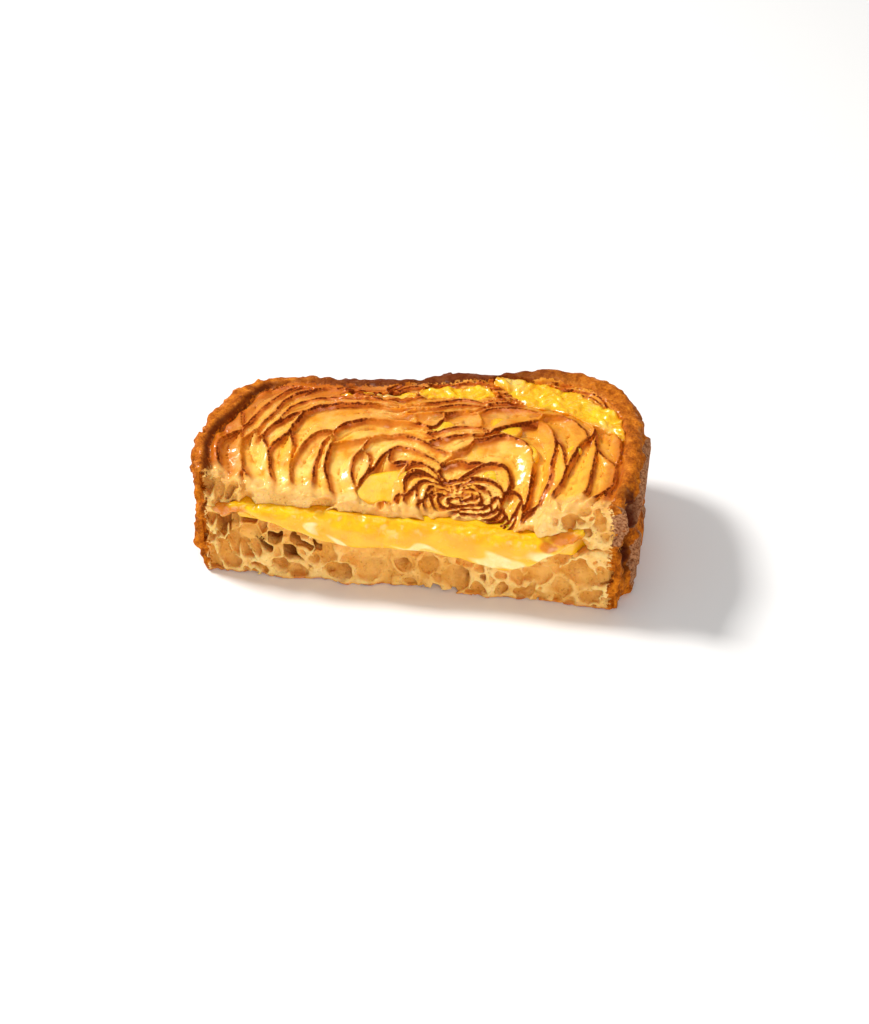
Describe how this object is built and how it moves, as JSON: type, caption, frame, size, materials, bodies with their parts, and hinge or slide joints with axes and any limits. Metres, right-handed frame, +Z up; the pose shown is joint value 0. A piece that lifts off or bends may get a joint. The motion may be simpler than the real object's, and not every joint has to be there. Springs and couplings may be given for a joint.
{
  "type": "grilled cheese sandwich half",
  "caption": "Half of a toasted cheese sandwich: thick slices of a swirled loaf with an open crumb, crust round three sides, and melted cheese that droops over the cut face.",
  "frame": {"origin": "centre of the footprint on the resting face", "axes": "+X along the cut face to the right, +Y from the cut face back to the crust, +Z up"},
  "size_m": [0.1186, 0.0642, 0.0347],
  "materials": {
    "bread_crumb": "soft open crumb, matt, cream to pale gold, with a brown crust and a toasted underside",
    "melted_cheese": "glossy melted cheese, deep yellow with paler cream streaks",
    "bread_toasted": "butter-toasted face, golden with dark brown ridges, semi-gloss"
  },
  "bodies": {
    "root": {"bread_bottom": "bread_crumb", "cheese": "melted_cheese", "bread_top": "bread_toasted"}
  },
  "joints": []
}
